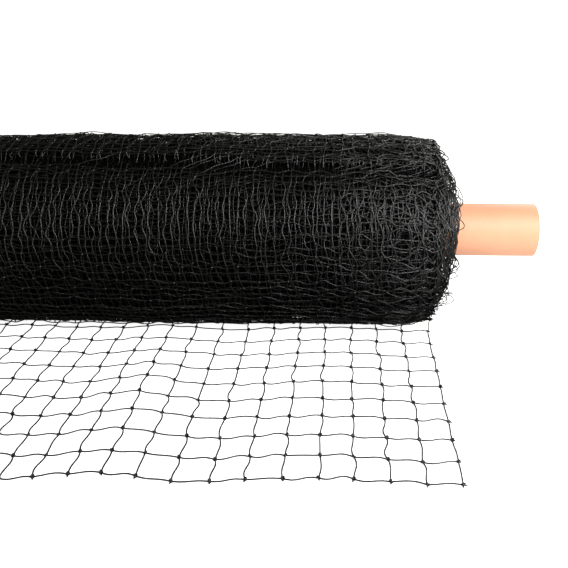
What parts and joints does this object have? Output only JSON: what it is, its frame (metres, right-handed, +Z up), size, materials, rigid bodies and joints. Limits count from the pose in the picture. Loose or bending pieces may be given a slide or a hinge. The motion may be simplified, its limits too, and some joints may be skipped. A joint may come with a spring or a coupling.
{
  "type": "roll of safety netting",
  "caption": "Roll of black knotted square-mesh safety netting wound on a cardboard tube, with a loose end of the net lying flat in front of it.",
  "frame": {"origin": "middle of the flat spot that the roll rests on, under the middle of the tube", "axes": "+X along the tube to the right as seen from the loose end, -Y towards the loose end of the net, +Z up"},
  "size_m": [1.232, 0.4329, 0.2209],
  "materials": {
    "cardboard": "plain spiral-wound cardboard tube, matt, pale tan",
    "net": "knotted black twine, slightly glossy"
  },
  "bodies": {
    "root": {"core_tube": "cardboard", "net_roll": "net", "net_flap": "net"}
  },
  "joints": []
}
